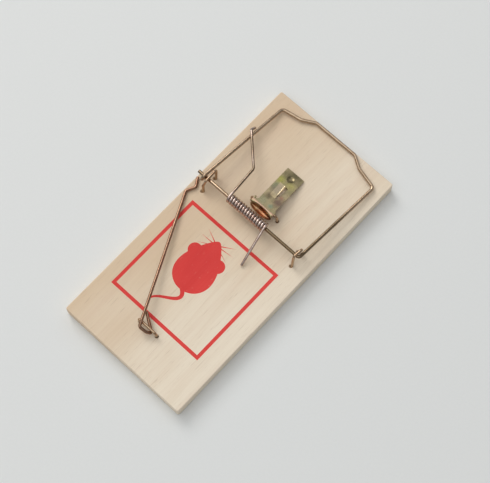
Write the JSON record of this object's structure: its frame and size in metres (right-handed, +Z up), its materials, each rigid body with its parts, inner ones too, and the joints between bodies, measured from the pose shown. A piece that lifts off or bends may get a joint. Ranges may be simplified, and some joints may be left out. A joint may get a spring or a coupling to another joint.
{
  "type": "snap mouse trap",
  "caption": "Wooden snap trap with a sprung wire hammer, a lock bar on a staple and a tilting sheet-metal treadle.",
  "frame": {"origin": "middle of the board's underside", "axes": "+Z up, +Y along the board towards the end that the hammer strikes, +X across the board to the right"},
  "size_m": [0.086, 0.178, 0.0192],
  "materials": {
    "wood": "planed, unvarnished pale softwood with a red printed frame and mouse",
    "hammer_wire": "drawn steel wire, bronze-grey, slightly glossy",
    "spring_wire": "drawn spring steel, glossy",
    "lock_wire": "drawn steel wire, copper-washed",
    "staple_wire": "drawn steel wire",
    "yellow_zinc": "yellow-passivated zinc plate with a green and pink bloom"
  },
  "bodies": {
    "base": {"base_board": "wood", "left_axle_staple": "staple_wire", "right_axle_staple": "staple_wire", "lock_bar_staple": "staple_wire", "treadle_staple": "staple_wire", "spring": "spring_wire"},
    "hammer": {"hammer": "hammer_wire"},
    "lock_bar": {"lock_bar": "lock_wire"},
    "treadle": {"treadle": "yellow_zinc"}
  },
  "joints": [
    {"name": "hammer_swing", "type": "hinge", "parent": "base", "child": "hammer", "pos_m": [0, 0.0185, 0.016], "axis": [1, 0, 0], "range_deg": [0, 180], "stiffness_Nm_per_rad": 0.31, "springref_deg": -47.56, "deforming": ["spring"]},
    {"name": "lock_bar_lift", "type": "hinge", "parent": "base", "child": "lock_bar", "pos_m": [0, -0.0663, 0.0135], "axis": [1, 0, 0], "range_deg": [0, 168]},
    {"name": "treadle_tilt", "type": "hinge", "parent": "base", "child": "treadle", "pos_m": [0, 0.0279, 0.0153], "axis": [1, 0, 0], "range_deg": [0, 75]}
  ]
}
